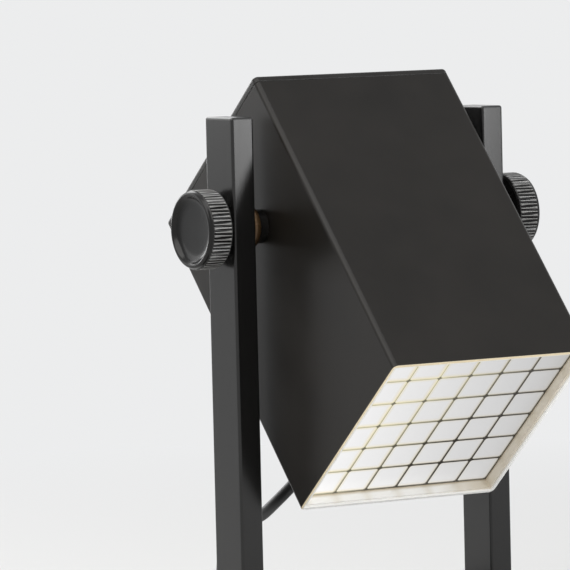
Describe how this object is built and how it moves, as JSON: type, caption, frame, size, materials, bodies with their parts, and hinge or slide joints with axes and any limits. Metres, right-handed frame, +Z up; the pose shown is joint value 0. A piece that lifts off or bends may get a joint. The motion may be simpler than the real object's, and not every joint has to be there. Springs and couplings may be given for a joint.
{
  "type": "tabletop searchlight lamp",
  "caption": "Square-tube desk searchlight hung between two flat posts, tilting on clamp knobs, with a gridded opal light panel and a weighted base with a push switch.",
  "frame": {"origin": "centre of the base pad's underside, on the tabletop", "axes": "+X from the left post to the right post along the tilt axis, -Y the way the lamp shines, +Z up"},
  "size_m": [0.1622, 0.1698, 0.2466],
  "materials": {
    "base_black": "satin",
    "ballast_steel": "matte",
    "cover_black": "matte",
    "pad_rubber": "matte",
    "screw_steel": "satin",
    "post_black": "satin",
    "knob_black": "satin",
    "stud_steel": "satin",
    "washer_dark": "satin",
    "plate_steel": "satin",
    "spacer_black": "satin",
    "washer_brass": "satin",
    "casing_black": "satin",
    "rear_black": "satin",
    "block_aluminium": "satin",
    "screw_dark": "satin",
    "liner_white": "satin",
    "diffuser_opal": "satin",
    "grille_bronze": "satin",
    "board_white": "matte",
    "chip_yellow": "satin",
    "sink_aluminium": "matte",
    "terminal_white": "matte",
    "gland_black": "matte",
    "lead_black": "satin",
    "switch_metal": "satin",
    "button_grey": "satin",
    "spring_steel": "gloss",
    "inlet_black": "satin",
    "standoff_brass": "satin",
    "driver_green": "satin"
  },
  "bodies": {
    "stand": {"base_housing": "base_black", "ballast_plate": "ballast_steel", "base_cover": "cover_black", "base_pad": "pad_rubber", "cover_screws": "screw_steel", "post_screws": "screw_steel", "left_post": "post_black", "right_post": "post_black", "base_gland": "gland_black", "base_gland_nut": "gland_black", "supply_lead": "lead_black", "switch_body": "switch_metal", "switch_nut": "screw_steel", "switch_spring": "spring_steel", "power_inlet": "inlet_black", "inlet_nut": "screw_steel", "driver_standoffs": "standoff_brass", "driver_board": "driver_green"},
    "head": {"head_casing": "casing_black", "rear_cover": "rear_black", "corner_blocks": "block_aluminium", "rear_cover_screws": "screw_dark", "white_liner": "liner_white", "opal_diffuser": "diffuser_opal", "cell_grille": "grille_bronze", "led_board": "board_white", "led_chips": "chip_yellow", "heat_sink": "sink_aluminium", "engine_brackets": "block_aluminium", "engine_screws": "screw_steel", "terminal_block": "terminal_white", "head_gland": "gland_black", "head_gland_nut": "gland_black", "left_pivot_plate": "plate_steel", "right_pivot_plate": "plate_steel", "left_spacer": "spacer_black", "right_spacer": "spacer_black", "left_friction_washer": "washer_brass", "right_friction_washer": "washer_brass"},
    "left_knob": {"left_clamp_knob": "knob_black", "left_clamp_stud": "stud_steel", "left_knob_washer": "washer_dark"},
    "right_knob": {"right_clamp_knob": "knob_black", "right_clamp_stud": "stud_steel", "right_knob_washer": "washer_dark"},
    "button": {"switch_button": "button_grey"}
  },
  "joints": [
    {"name": "head_tilt", "type": "hinge", "parent": "stand", "child": "head", "pos_m": [0, 0, 0.186], "axis": [1, 0, 0], "range_deg": [-60, 35], "deforming": ["supply_lead"]},
    {"name": "left_knob_turn", "type": "hinge", "parent": "stand", "child": "left_knob", "pos_m": [-0.0685, 0, 0.186], "axis": [-1, 0, 0], "range_deg": [0, 270]},
    {"name": "right_knob_turn", "type": "hinge", "parent": "stand", "child": "right_knob", "pos_m": [0.0685, 0, 0.186], "axis": [1, 0, 0], "range_deg": [0, 270]},
    {"name": "switch_press", "type": "slide", "parent": "stand", "child": "button", "axis": [0, 0, -1], "range_m": [0, 0.002], "stiffness_N_per_m": 500, "springref_m": -0.002, "deforming": ["switch_spring"]}
  ]
}
